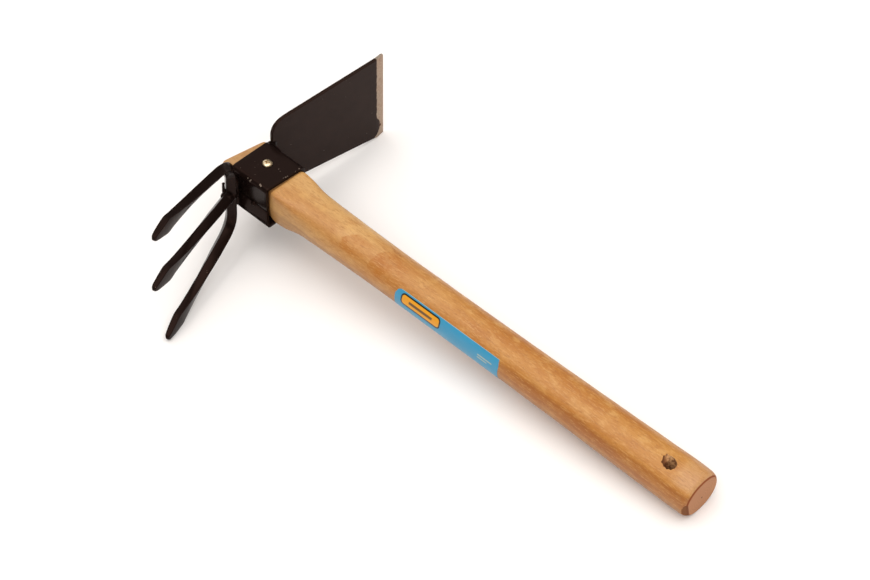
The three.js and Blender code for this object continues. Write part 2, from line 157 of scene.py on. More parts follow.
# Place along the handle, half width, half height, squareness of the section (2 is an oval, 12 is
# nearly a rectangle) and how far the section's centre is off the centre line in Y and in Z.
seat_half_width = socket_half_width - sheet - clearance
seat_half_height = top_side - sheet - clearance
handle_stations = [
    (nose_end, nose_half_width - 0.4, 13.7, 14, 0, 0),
    (nose_end + 0.4, nose_half_width - 0.1, 13.95, 15, 0, 0),
    (nose_end + 1.2, nose_half_width, seat_half_height, 16, 0, 0),
    (nose_end + 2.4, nose_half_width - 0.2, seat_half_height, 16, 0, 0),
    (nose_end + 3.6, seat_half_width, seat_half_height, 16, 0, 0),
    (nose_end + 4, seat_half_width, seat_half_height, 16, 0, 0),
    (-16, seat_half_width, seat_half_height, 12, 0, 0),
    (17, seat_half_width, seat_half_height, 12, 0, 0),
    (18.2, 15.05, 14.4, 12, 0, 0),
    (25, 15.15, 14.5, 10, 0, 0),
    (30, 15.2, 14.55, 6.3, 0, 0),
    (35, 15.15, 14.6, 4, 0, 0),
    (40, 15.1, 14.6, 3.1, 0, 0),
    (50, 15.2, 14.65, 2.6, 0, 0),
    (70, 15.3, 14.8, 2.25, 0, 0),
    (100, 15.05, 14.5, 2.1, 0, 0),
    (140, 14.85, 14.3, 2.1, 0, 0),
    (180, 14.9, 14.4, 2.1, 0, 0),
    (220, 15.1, 14.5, 2.1, 0, 0),
    (260, 15.4, 14.7, 2.1, 0, 0),
    (300, 15.95, 15, 2.1, 0, 0),
    (340, 16.35, 15.2, 2.15, 0, 0),
    (butt_end - butt_round, 16.35, 15.15, 2.2, 0, 0),
    (butt_end - 3.4, 16.25, 15.05, 2.2, 0, -0.1),
    (butt_end - 1.8, 15.9, 14.6, 2.2, 0.2, -0.4),
    (butt_end - 0.7, 15.2, 13.8, 2.2, 0.6, -0.9),
    (butt_end, 14.2, 12.7, 2.2, 1.1, -1.5),
]


# ---------------------------------------------------------------- curves and meshes
def curve_through(stations, places):
    """Rows of values at places along a smooth curve through stations, rows of (place, value, ...)."""
    table = np.array(stations, float)
    x, values = table[:, 0], table[:, 1:]
    places = np.asarray(places, float)
    slopes = np.gradient(values, x, axis=0)
    index = np.clip(np.searchsorted(x, places, side="right") - 1, 0, len(x) - 2)
    gap = (x[index + 1] - x[index])[:, None]
    t = (places[:, None] - x[index][:, None]) / gap
    return ((2 * t**3 - 3 * t**2 + 1) * values[index] + (t**3 - 2 * t**2 + t) * gap * slopes[index]
            + (3 * t**2 - 2 * t**3) * values[index + 1] + (t**3 - t**2) * gap * slopes[index + 1])


def straight_through(stations, place):
    """Values at a place along stations, rows of (place, value, ...), by straight lines."""
    table = np.array(stations, float)
    return [np.interp(place, table[:, 0], column) for column in table[:, 1:].T]


def wobble(point, size, seed):
    """Smooth noise from -1 to 1 that changes over `size` millimetres."""
    return noise.noise(Vector(point) / size + Vector((seed, 2 * seed, -seed)) * 7.3)


def turns(count):
    """Angles that go once round in equal steps, in radians."""
    return [TURN * step / count for step in range(count)]


def loft(rings):
    """Points and faces of a closed skin over a row of rings, turning anticlockwise about their course."""
    sides = len(rings[0])
    points = [point for ring in rings for point in ring]
    faces = []
    for row in range(len(rings) - 1):
        for side in range(sides):
            a, b = row * sides + side, row * sides + (side + 1) % sides
            faces.append((a, b, b + sides, a + sides))
    faces.append(tuple(reversed(range(sides))))
    faces.append(tuple(range(len(points) - sides, len(points))))
    return points, faces


def placed(name, data):
    """A new object in the scene that holds a mesh, a light or a camera."""
    thing = bpy.data.objects.new(name, data)
    bpy.context.scene.collection.objects.link(thing)
    return thing


def thing_from(name, points, faces):
    mesh = bpy.data.meshes.new(name)
    mesh.from_pydata([TOOL @ Vector(point) for point in points], [], faces)
    mesh.update()
    return placed(name, mesh)


def modify(thing, kind, **settings):
    modifier = thing.modifiers.new(kind.lower(), kind)
    for key, value in settings.items():
        setattr(modifier, key, value)


def apply_modifiers(thing):
    graph = bpy.context.evaluated_depsgraph_get()
    shaped = bpy.data.meshes.new_from_object(thing.evaluated_get(graph))
    thing.modifiers.clear()
    thing.data = shaped


def cut(thing, cutter):
    modify(thing, "BOOLEAN", operation="DIFFERENCE", solver="EXACT", object=cutter,
           material_mode="TRANSFER")
    apply_modifiers(thing)
    bpy.data.objects.remove(cutter)


def dress(thing, looks, slot, *nodes, local=None, sharp=35):
    """Gives a finished piece its materials, its shading and its place in the frame. The attribute
    `place` holds each point in the tool's frame, or in a `local` one, in millimetres."""
    mesh = thing.data
    mesh.materials.clear()
    for look in looks:
        mesh.materials.append(look)
    mesh.polygons.foreach_set("use_smooth", [True] * len(mesh.polygons))
    mesh.set_sharp_from_angle(angle=math.radians(sharp))
    to_local = ((TOOL @ local) if local else TOOL).inverted()
    places = [coordinate for vertex in mesh.vertices for coordinate in to_local @ vertex.co]
    mesh.attributes.new("place", "FLOAT_VECTOR", "POINT").data.foreach_set("vector", places)
    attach(thing, "root")
    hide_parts(*nodes)
    return thing


# ---------------------------------------------------------------- materials
def srgb(red, green, blue):
    """A colour given as 0 to 255 display values, for a shader."""
    def linear(value):
        share = value / 255
        return share / 12.92 if share <= 0.04045 else ((share + 0.055) / 1.055) ** 2.4
    return (linear(red), linear(green), linear(blue), 1)


class Look:
    """A node material. Each method adds a node and returns the socket that it gives out."""

    def __init__(self, name):
        self.material = bpy.data.materials.new(name)
        self.material.use_nodes = True
        self.tree = self.material.node_tree
        self.shader = self.tree.nodes["Principled BSDF"]

    def put(self, socket, value):
        if isinstance(value, bpy.types.NodeSocket):
            self.tree.links.new(value, socket)
        else:
            socket.default_value = value

    def node(self, kind, inputs, output=0, **settings):
        made = self.tree.nodes.new("ShaderNode" + kind)
        for key, value in settings.items():
            setattr(made, key, value)
        for key, value in inputs.items():
            self.put(made.inputs[key], value)
        return made.outputs[output]

    def set(self, **values):
        for key, value in values.items():
            self.put(self.shader.inputs[key.replace("_", " ")], value)

    def place(self):
        return self.node("Attribute", {}, output="Vector", attribute_name="place")

    def axes(self, vector):
        parts = self.tree.nodes.new("ShaderNodeSeparateXYZ")
        self.put(parts.inputs[0], vector)
        return parts.outputs[0], parts.outputs[1], parts.outputs[2]

    def math(self, operation, *values):
        return self.node("Math", dict(enumerate(values)), operation=operation)

    def product(self, first, *others):
        for other in others:
            first = self.math("MULTIPLY", first, other)
        return first

    def plus(self, first, *others):
        for other in others:
            first = self.math("ADD", first, other)
        return first

    def most(self, first, *others):
        for other in others:
            first = self.math("MAXIMUM", first, other)
        return first

    def minus(self, first, second):
        return self.math("SUBTRACT", first, second)

    def other(self, share):
        return self.minus(1.0, share)

    def distance(self, vector, point):
        return self.node("VectorMath", {0: vector, 1: point}, output="Value", operation="DISTANCE")

    def stretched(self, vector, x, y, z):
        return self.node("VectorMath", {0: vector, 1: (x, y, z)}, operation="MULTIPLY")

    def moved(self, vector, x, y, z):
        return self.node("VectorMath", {0: vector, 1: (x, y, z)}, operation="ADD")

    def noise(self, vector, scale, detail=3.0, roughness=0.5):
        return self.node("TexNoise", {"Vector": vector, "Scale": scale, "Detail": detail,
                                      "Roughness": roughness})

    def grain(self, vector, along, scale, detail=3.0, roughness=0.5):
        """Noise that is drawn out along X, as the grain is. The smaller `along` is, the longer it is."""
        return self.noise(self.stretched(vector, along, 1, 1), scale, detail, roughness)

    def cells(self, vector, scale):
        return self.node("TexVoronoi", {"Vector": vector, "Scale": scale}, output="Distance")

    def fade(self, value, low, high, least=0.0):
        """`least` up to `low`, 1 from `high`, and smooth between them."""
        limits = {"From Min": low, "From Max": high, "To Min": least}
        return self.node("MapRange", {"Value": value} | limits, interpolation_type="SMOOTHSTEP")

    def band(self, value, low, high, soft):
        """1 between low and high, with soft edges outside them."""
        inside = self.fade(value, low - soft, low)
        return self.product(inside, self.other(self.fade(value, high, high + soft)))

    def spread(self, value, low, high):
        return self.node("MapRange", {"Value": value, "To Min": low, "To Max": high})

    def ramp(self, value, start, end, first=0.0, last=1.0):
        """A straight ramp from `first` at `start` to `last` at `end`, level beyond them."""
        return self.node("MapRange", {"Value": value, "From Min": start, "From Max": end,
                                      "To Min": first, "To Max": last})

    def mix(self, share, low, high):
        return self.node("Mix", {0: share, 6: low, 7: high}, output=2, data_type="RGBA")

    def tint(self, colour, share, red, green, blue):
        """A colour turned by a share towards another, given as 0 to 255 display values."""
        return self.mix(share, colour, srgb(red, green, blue))

    def bump(self, height, distance_mm, strength=1.0, under=None):
        inputs = {"Height": height, "Distance": distance_mm * MM, "Strength": strength}
        if under is not None:
            inputs["Normal"] = under
        return self.node("Bump", inputs)


def make_wood():
    look = Look("varnished_wood")
    place = look.place()
    x, y, z = look.axes(place)
    # Degrees round the handle: 90 is the top, 180 the tine side and 270 the underside.
    half_turned = look.math("ARCTAN2", look.product(z, -1.0), look.product(y, -1.0))
    angle = look.plus(look.product(half_turned, 180 / math.pi), 180.0)

    # Paler near the head and more orange along the grip, then mottling that is longer along the grain.
    broad = look.grain(place, 0.22, 0.075, detail=2)
    pale_neck = look.mix(look.fade(broad, 0.36, 0.64), srgb(202, 157, 98), srgb(190, 141, 81))
    orange_grip = look.mix(look.fade(broad, 0.36, 0.64), srgb(186, 127, 57), srgb(173, 109, 41))
    colour = look.mix(look.fade(x, 50, 210), pale_neck, orange_grip)
    mottle = look.grain(place, 0.45, 0.2, detail=5, roughness=0.62)
    colour = look.tint(colour, look.product(look.fade(mottle, 0.48, 0.72), 0.55), 168, 106, 48)
    pale_place = look.moved(look.stretched(place, 0.6, 1, 1), 31, 5, 9)
    pale = look.noise(pale_place, 0.13, detail=5, roughness=0.65)
    colour = look.tint(colour, look.product(look.fade(pale, 0.5, 0.66), 0.52), 209, 161, 94)

    # The tine side is more orange, and a small brown curl lies on top.
    side_tone = look.product(look.fade(angle, 92, 140), look.fade(x, 25, 120),
                             look.fade(mottle, 0.35, 0.6, least=0.45), 0.5)
    colour = look.tint(colour, side_tone, 174, 110, 42)
    curl_x = look.minus(x, look.product(look.minus(angle, 72), 0.35))
    curl = look.product(look.band(curl_x, 114, 118, 3), look.band(angle, 62, 80, 6),
                        look.fade(look.noise(place, 0.35, detail=4), 0.35, 0.55), 0.7)
    colour = look.tint(colour, curl, 150, 88, 38)

    warm_band = look.product(look.band(angle, 112, 138, 20), look.band(x, 25, 66, 18), 0.5)
    colour = look.tint(colour, warm_band, 172, 110, 50)

    # Amber patches, each with a sharp curved edge towards the head and blotchy beyond it.
    ragged = look.spread(look.noise(place, 0.12, detail=3), -5, 5)
    ragged_x = look.plus(x, look.spread(look.noise(place, 0.2, detail=4), -2.5, 2.5))
    ragged_angle = look.plus(angle, look.product(ragged, 2.0))
    blotch = look.fade(look.noise(place, 0.17, detail=4, roughness=0.6), 0.35, 0.65, least=0.5)
    for start, length, low, high, strength in [(78, 30, 100, 149, 0.9), (104.6, 46, 82, 158, 1.0)]:
        # The edge bows: it lies furthest towards the head two thirds of the way round the patch.
        off_middle = look.math("DIVIDE", look.minus(angle, (low + 2 * high) / 3), high - low)
        bow = look.product(look.math("POWER", look.math("ABSOLUTE", off_middle), 2.0), 12.0)
        past_edge = look.minus(look.minus(ragged_x, bow), start)
        behind_edge = look.fade(past_edge, -0.7, 0.7)
        dying_away = look.other(look.fade(past_edge, 2, length))
        sides = look.product(look.fade(ragged_angle, low - 16, low + 6),
                             look.other(look.fade(ragged_angle, high, high + 5)))
        patch = look.product(behind_edge, dying_away, sides, strength, blotch)
        colour = look.tint(colour, patch, 170, 103, 32)

    # A brown streak low on the tine side, growing towards the butt.
    streak_tone = look.grain(place, 0.12, 0.22, detail=4, roughness=0.6)
    streak = look.product(look.band(ragged_angle, 152, 172, 14), look.fade(x, 175, 250),
                          look.fade(streak_tone, 0.35, 0.6, least=0.45), 0.9)
    colour = look.tint(colour, streak, 152, 88, 30)
    near_butt = look.product(look.band(x, butt_end - 11, butt_end - 2, 9), look.band(angle, 52, 128, 14),
                             look.fade(mottle, 0.3, 0.55, least=0.5), 0.55)
    colour = look.tint(colour, near_butt, 198, 154, 110)
    underside = look.product(look.band(ragged_angle, 190, 345, 12), 0.55)
    colour = look.tint(colour, underside, 146, 98, 54)

    fibres = look.grain(place, 0.17, 0.95, detail=5, roughness=0.75)
    colour = look.tint(colour, look.product(look.fade(fibres, 0.5, 0.64), 0.42), 148, 92, 42)
    light_place = look.moved(look.stretched(place, 0.16, 1, 1), 5, 3, 1)
    light_fibres = look.noise(light_place, 1.1, detail=4, roughness=0.75)
    colour = look.tint(colour, look.product(look.fade(light_fibres, 0.5, 0.66), 0.4), 213, 166, 102)
    pores = look.grain(place, 0.16, 3.2, detail=1)
    pore = look.fade(pores, 0.68, 0.75)
    colour = look.tint(colour, look.product(pore, 0.45), 116, 68, 32)

    # End grain on both sawn ends: growth rings round the pith, and a brown line at the rim.
    from_pith = look.distance(look.stretched(place, 0, 1, 1), (0, 1.2, -3))
    ring_place = look.plus(from_pith, look.spread(look.noise(place, 0.2), -1.5, 1.5))
    rings = look.fade(look.math("SINE", look.product(ring_place, 3.6)), 0.1, 1)
    end_colour = look.mix(look.product(rings, 0.35), srgb(183, 129, 91), srgb(159, 107, 71))
    end_colour = look.tint(end_colour, look.other(look.fade(from_pith, 0.5, 0.8)), 50, 28, 18)
    square_x = look.minus(x, look.product(y, nose_skew))
    nose_side = look.other(look.fade(square_x, nose_end + 0.05, nose_end + 0.3))
    butt_side = look.fade(x, butt_end - 0.3, butt_end - 0.05)
    sawn = look.most(nose_side, butt_side)
    colour = look.tint(colour, look.product(look.other(look.fade(x, -18, -15)), 0.45), 140, 100, 66)
    colour = look.mix(sawn, colour, end_colour)
    rim = look.band(x, butt_end - 0.6, butt_end - 0.2, 0.2)
    colour = look.tint(colour, look.product(rim, 0.95), 130, 58, 10)
    outward = look.node("VectorMath", {0: place, 1: facet_towards}, output="Value", operation="DOT_PRODUCT")
    facet_limit = look.ramp(x, butt_end - facet_length, butt_end, facet_start, facet_end)
    on_facet = look.product(look.fade(look.minus(outward, facet_limit), -0.3, -0.1),
                            look.fade(x, butt_end - facet_length, butt_end - facet_length + 0.4))
    colour = look.tint(colour, look.product(on_facet, 0.85), 112, 62, 26)

    # Painted shade where the wood comes out of the socket, whose edge is drawn back on the tine side.
    from_seam = look.math("ABSOLUTE", look.minus(z, seam_height))
    lip_share = look.most(look.other(look.product(from_seam, 1 / lip_draw_above)), 0.0)
    across = look.ramp(y, socket_half_width, -socket_half_width)
    along_top = look.product(across, look.fade(z, seam_height - 1, seam_height + 1), corner_draw_back)
    on_tine_side = look.other(look.fade(y, -14, -13))
    drawn_back = look.node("Mix", {0: look.product(lip_share, on_tine_side), 2: along_top,
                                   3: lip_draw_back})
    past_lip = look.plus(look.minus(x, lip_end), drawn_back)
    lip_painted_shade = look.other(look.fade(past_lip, 0.1, 0.9))
    lip_painted_shade = look.product(lip_painted_shade, look.fade(x, head_end, lip_end))
    colour = look.tint(colour, look.product(lip_painted_shade, 0.7), 98, 58, 28)

    gloss = look.spread(look.grain(place, 0.3, 0.35), 0.4, 0.55)
    unvarnished = look.most(sawn, rim, on_facet)
    gloss = look.most(gloss, look.product(unvarnished, 0.85))
    relief = look.bump(fibres, 0.03, 0.5)
    look.set(Base_Color=colour, Roughness=gloss, Normal=look.bump(pore, -0.05, 0.6, relief),
             Coat_Weight=look.product(look.other(unvarnished), 0.15), Coat_Roughness=0.25,
             Specular_IOR_Level=0.4)
    return look.material


def make_raw_wood():
    """The torn wood inside the hang hole: dirt, painted shade on its torn head side and painted light on its
    far wall.
    """
    look = Look("raw_wood")
    place = look.place()
    fibres = look.grain(place, 0.2, 1.4, detail=5, roughness=0.7)
    colour = look.mix(look.fade(fibres, 0.35, 0.65), srgb(150, 100, 58), srgb(196, 144, 94))
    dirt = look.noise(place, 0.5, detail=4)
    x, y, _ = look.axes(place)
    # The torn head side of the hole is darkened: painted shade in the deep tear.
    torn_side_painted_shade = look.product(look.other(look.fade(x, hang_hole.x - 3.5, hang_hole.x - 1)),
                             look.other(look.fade(y, hang_hole.y - 1, hang_hole.y + 2)))
    # The far wall of the hole is lightened: painted light.
    far_wall_painted_light = look.fade(y, hang_hole.y, hang_hole.y + 3)
    colour = look.tint(colour, far_wall_painted_light, 222, 172, 118)
    # Dirt noise together with the painted shade of the torn side.
    dirt_and_painted_shade = look.most(look.product(look.fade(dirt, 0.4, 0.62), 0.8), torn_side_painted_shade)
    colour = look.tint(colour, dirt_and_painted_shade, 122, 72, 34)
    look.set(Base_Color=colour, Roughness=0.85, Normal=look.bump(fibres, 0.25, 0.8))
    return look.material


# Chips in the lacquer: place and radius.
chips = [
    ((-3.6, -16.6, 15.3), 0.5),
    ((-0.9, -16.9, 14.4), 0.8),
    ((-0.7, -16.6, 15.2), 0.6),
    ((7.5, -15.6, 16.2), 0.9),
    ((8.3, -15.9, 15.9), 0.9),
    ((6.6, 3.0, top_side), 0.45),
    ((8.6, 2.0, top_side), 0.5),
    ((14.6, -0.6, top_side), 0.4),
    ((15, 0.8, top_side), 0.5),
    ((15.6, 2.4, top_side), 0.4),
    ((16.2, 9, top_side), 0.4),
    ((16.3, 12.6, top_side), 0.5),
    ((15.2, 14.6, top_side - 0.6), 0.45),
]
warm_shine = (1.0, 0.54, 0.43, 1.0)


def lacquer_base(look, place, dark, light):
    """Black-brown gloss lacquer over steel: its colour, roughness and surface."""
    tone = look.noise(place, 0.11, detail=3)
    colour = look.mix(tone, dark, light)
    dust_place = look.cells(look.moved(place, 3, 1, 7), 0.32)
    dusty = look.fade(look.noise(place, 0.21, detail=1), 0.5, 0.62)
    dust = look.product(look.other(look.fade(dust_place, 0.035, 0.075)), dusty)
    colour = look.tint(colour, dust, 128, 116, 106)
    gloss = look.spread(look.noise(place, 0.4, detail=5, roughness=0.65), 0.1, 0.3)
    runs = look.bump(look.noise(place, 0.13, detail=2), 0.06, 0.35)
    peel = look.bump(look.noise(place, 0.9, detail=2), 0.006, 0.5, runs)
    return colour, look.most(gloss, look.product(dust, 0.8)), peel


def make_lacquer():
    look = Look("black_lacquer")
    place = look.place()
    colour, gloss, surface = lacquer_base(look, place, srgb(19, 12, 10), srgb(27, 18, 15))
    torn = look.node("TexNoise", {"Vector": place, "Scale": 1.1, "Detail": 4.0}, output="Color")
    torn_place = look.node("VectorMath", {0: place, 1: look.stretched(torn, 2, 2, 2)}, operation="ADD")
    worn = 0.0
    for (chip_x, chip_y, chip_z), radius in chips:
        away = look.distance(torn_place, (chip_x + 1, chip_y + 1, chip_z + 1))
        worn = look.most(worn, look.other(look.fade(away, radius * 0.6, radius)))
    colour = look.tint(colour, look.product(worn, 0.8), 128, 114, 102)
    look.set(Base_Color=colour, Roughness=look.most(gloss, look.product(worn, 0.5)),
             Normal=surface, Specular_IOR_Level=0.1, Specular_Tint=warm_shine)
    return look.material


def make_blade_look():
    """Lacquer down to a wavy border, then ground steel. X runs to the cutting edge and Z up."""
    look = Look("lacquer_and_ground_edge")
    place = look.place()
    x, _, z = look.axes(place)
    colour, gloss, surface = lacquer_base(look, place, srgb(29, 20, 17), srgb(39, 28, 24))
    uneven = look.spread(look.noise(look.stretched(place, 0, 0, 1), 0.16, detail=4), -1.3, 1.3)
    drip = look.product(look.band(z, -30, -25, 7), 3.2)
    low_corner = look.product(look.other(look.fade(z, -39, -34)), -3.0)
    drip = look.plus(drip, low_corner)
    border = look.plus(blade_reach - 7.2, uneven, drip)
    past_border = look.minus(x, border)
    bare = look.fade(past_border, -0.15, 0.15)
    strokes = look.grain(place, 0.25, 2.2, detail=4, roughness=0.7)
    steel = look.mix(look.fade(strokes, 0.3, 0.7), srgb(142, 130, 117), srgb(177, 166, 150))
    stain = look.fade(look.noise(place, 0.25, detail=4), 0.52, 0.72)
    steel = look.tint(steel, look.product(stain, 0.35), 132, 108, 92)
    nick = look.distance(place, (blade_reach - 3.2, blade_thickness, -29))
    steel = look.tint(steel, look.band(nick, 1.2, 1.7, 0.2), 60, 48, 42)
    lip = look.product(look.band(past_border, -0.6, -0.1, 0.3), 0.5)
    colour = look.tint(colour, lip, 70, 56, 48)
    ground = look.bump(strokes, 0.02, 0.5)
    step = look.bump(look.other(bare), 0.12, 0.6, surface)
    look.set(Base_Color=look.mix(bare, colour, steel), Metallic=look.product(bare, 0.85),
             Specular_IOR_Level=0.1, Specular_Tint=warm_shine,
             Roughness=look.most(gloss, look.product(bare, 0.46)),
             Normal=look.node("Mix", {0: bare, 4: step, 5: ground}, output=1, data_type="VECTOR"))
    return look.material


def make_plating():
    look = Look("yellow_zinc")
    place = look.place()
    tone = look.noise(place, 0.7, detail=4, roughness=0.65)
    colour = look.mix(look.fade(tone, 0.35, 0.7), srgb(232, 216, 184), srgb(176, 146, 106))
    scuffs = look.noise(look.stretched(place, 1, 0.3, 1), 2.6, detail=4, roughness=0.7)
    colour = look.tint(colour, look.product(look.fade(scuffs, 0.55, 0.7), 0.5), 236, 230, 214)
    look.set(Base_Color=colour, Metallic=1.0, Roughness=look.spread(scuffs, 0.2, 0.45),
             Normal=look.bump(scuffs, 0.04, 0.6))
    return look.material


# The printed badge on the label, in the label's own place: X from its head end, Y up from its middle.
badge = {"x": 22.4, "y": 6.3, "half_length": 17.3, "half_height": 4.5, "corner": 3.2, "border": 1.1}
film_middle_angle = (label_top + label_bottom) / 2
film_top = (film_middle_angle - label_top) * math.radians(1) * label_radius


def make_film():
    """A sky-blue printed film with a pale cut edge and a plain amber badge."""
    look = Look("printed_film")
    place = look.place()
    x, y, _ = look.axes(place)
    tone = look.grain(place, 0.3, 0.12, detail=3)
    colour = look.mix(tone, srgb(50, 138, 176), srgb(63, 149, 185))
    fleck = look.noise(place, 1.8, detail=3)
    colour = look.tint(colour, look.product(look.fade(fleck, 0.6, 0.75), 0.12), 150, 200, 220)

    def beyond(value, centre, half):
        return look.minus(look.math("ABSOLUTE", look.minus(value, centre)), half)

    # How far a point is outside the badge's rounded outline. It is negative inside.
    corner = badge["corner"]
    over_x = look.most(beyond(x, badge["x"], badge["half_length"] - corner), 0.0)
    over_y = look.most(beyond(y, badge["y"], badge["half_height"] - corner), 0.0)
    squares = look.plus(look.math("POWER", over_x, 2.0), look.math("POWER", over_y, 2.0))
    outside = look.minus(look.math("SQRT", squares), corner)
    outline = look.other(look.fade(outside, -0.1, 0.1))
    inside = look.other(look.fade(outside, -badge["border"] - 0.1, 0.1 - badge["border"]))
    amber = look.mix(look.noise(place, 0.5, detail=2), srgb(222, 146, 4), srgb(230, 156, 10))
    colour = look.tint(colour, outline, 30, 30, 24)
    colour = look.mix(inside, colour, amber)
    stripe = look.product(look.band(x, badge["x"] - 10, badge["x"] + 10, 0.3),
                          look.band(y, badge["y"] - 0.9, badge["y"] + 0.9, 0.2))
    colour = look.tint(colour, look.product(stripe, 0.85), 46, 38, 26)
    # Two short pale lines near the butt end, and the pale cut edge along the top.
    print_start = 73
    for line_y, line_length in ((5.6, 12), (3.6, 8)):
        printed = look.product(look.band(x, print_start, print_start + line_length, 0.3),
                               look.band(y, line_y - 0.35, line_y + 0.35, 0.2))
        colour = look.tint(colour, look.product(printed, 0.6), 196, 190, 140)
    cut_edge = look.fade(y, film_top - 0.5, film_top - 0.25)
    colour = look.tint(colour, look.product(cut_edge, 0.7), 196, 204, 190)
    look.set(Base_Color=colour, Roughness=look.spread(fleck, 0.3, 0.45), Coat_Weight=0.1,
             Coat_Roughness=0.15, Specular_IOR_Level=0.35)
    return look.material


def make_floor_look():
    look = Look("pale_floor")
    place = look.node("TexCoord", {}, output="Object")
    tone = look.noise(place, 6.0, detail=3)
    look.set(Base_Color=look.mix(tone, (0.93, 0.905, 0.885, 1), (0.94, 0.92, 0.9, 1)), Roughness=0.9,
             Specular_IOR_Level=0.2)
    return look.material


def make_fillet_painted_shade_look():
    """The fillet at the blade's root: a darker copy of the lacquer, its black corner painted shade."""
    look = Look("painted_shade_lacquer_on_weld")
    place = look.place()
    # Near-black colours and a weak shine give painted shade in the hollow between socket and blade.
    colour, gloss, surface = lacquer_base(look, place, srgb(10, 6, 5), srgb(16, 10, 8))
    look.set(Base_Color=colour, Roughness=look.plus(gloss, 0.15), Normal=surface,
             Specular_IOR_Level=0.08, Specular_Tint=warm_shine)
    return look.material


wood = make_wood()
raw_wood = make_raw_wood()
lacquer = make_lacquer()
fillet_painted_shade_look = make_fillet_painted_shade_look()
blade_look = make_blade_look()
plating = make_plating()
film = make_film()


# ---------------------------------------------------------------- handle
def handle_point(x, angle, out=0.0):
    width, height, square, shift_y, shift_z = curve_through(handle_stations, [x])[0]
    c, s = math.cos(angle), math.sin(angle)
    y = (width + out) * math.copysign(abs(c) ** (2 / square), c)
    z = (height + out) * math.copysign(abs(s) ** (2 / square), s)
    return Vector((x, y + shift_y, z + shift_z))


def make_handle():
    sides = 112
    nose = list(nose_end + np.array([0, 0.15, 0.4, 0.8, 1.2, 1.9, 2.4, 2.8, 3.2, 3.6, 4, 5.5]))
    in_socket = [-17, -12, 0, 12, 17, 17.6, 18.2, 19.2]
    grip = list(np.arange(20.5, butt_end - butt_round, 2.5))
    butt = list(butt_end - np.array([butt_round, 5, 4.2, 3.6, 3.2, 2.4, 1.7, 1.2, 0.8, 0.45, 0.2, 0]))
    rings = []
    for x in nose + in_socket + grip + butt:
        skew = nose_skew * np.interp(x, [-21, -15], [1, 0])
        facet_limit = float(np.interp(x, [butt_end - facet_length, butt_end], [facet_start, facet_end]))
        ring = []
        for angle in turns(sides):
            point = handle_point(x, angle)
            lump = 0.12 * wobble((x, 12 * math.cos(angle), 12 * math.sin(angle)), 24, 1)
            point += Vector((0, math.cos(angle), math.sin(angle))) * lump
            past_facet = max(0, point.dot(facet_towards) - facet_limit)
            ring.append(point - facet_towards * past_facet + Vector((skew * point.y, 0, 0)))
        rings.append(ring)

    def inward(ring, share):
        centre = sum(ring, Vector()) / len(ring)
        return [centre.lerp(point, share) for point in ring]

    rings = [inward(rings[0], 0.3), inward(rings[0], 0.9)] + rings
    rings += [inward(rings[-1], 0.93), inward(rings[-1], 0.3)]
    return thing_from("wooden_handle", *loft(rings))


def make_hole_cutter():
    """A ragged drill: at the upper mouth its wall is torn wider towards the tool's head."""
    sides = 56
    tilt = Vector((0, 0, 1)).rotation_difference(up_in_tool)
    heights = [-30, -16, -12, -4, 4, 9, 12, 13.2, 13.9, 14.6, 15.6, 17, 30]
    rings = []
    for height in heights:
        torn = np.interp(height, [12.6, 13.4, 15.4], [0, 0.55, 1])
        ring = []
        for angle in turns(sides):
            ragged = wobble((9 * math.cos(angle), 9 * math.sin(angle), height / 3), 2.2, 3)
            headward = max(0.0, -math.cos(angle + 0.25)) ** 3
            radius = hang_hole_radius + torn * (2.9 * headward * (1 + 0.5 * ragged) + 0.5 * ragged)
            radius += 0.12 * ragged
            spot = tilt @ Vector((radius * math.cos(angle), radius * math.sin(angle), height))
            ring.append(hang_hole + spot)
        rings.append(ring)
    return thing_from("hole_cutter", *loft(rings))


handle = make_handle()
handle.data.materials.append(wood)
drill = make_hole_cutter()
drill.data.materials.append(raw_wood)
cut(handle, drill)
in_hole = [face.material_index for face in handle.data.polygons]
dress(handle, [wood, raw_wood], "ash_wood", "handle", sharp=32)
handle.data.polygons.foreach_set("material_index", in_hole)


# ---------------------------------------------------------------- socket
def strip_course():
    """The folded strip's middle line in Y and Z, from one lip of the seam round to the other."""
    half = sheet / 2
    bends = [  # centre, radius of the middle line, first angle
        (-(socket_half_width + flap_lean - flap_bend), -(top_side - flap_bend), flap_bend - half, 180),
        (socket_half_width - bend, -(top_side - bend), bend - half, 270),
        (socket_half_width - bend, top_side - bend, bend - half, 0),
        (-(socket_half_width - bend), top_side - bend, bend - half, 90),
    ]
    wall = half - socket_half_width
    course = [(wall - 0.25, seam_height - seam_gap / 2)]
    for centre_y, centre_z, radius, first in bends:
        for step in range(9):
            angle = math.radians(first + 90 * step / 8)
            course.append((centre_y + radius * math.cos(angle), centre_z + radius * math.sin(angle)))
    course.append((wall, seam_height + seam_gap / 2))
    # Extra points keep the flats' faces short.
    fine = [course[0]]
    for end in course[1:]:
        start = fine[-1]
        pieces = max(1, round(math.dist(start, end) / 3.5))
        for piece in range(1, pieces + 1):
            fine.append(tuple(a + (b - a) * piece / pieces for a, b in zip(start, end)))
    return fine


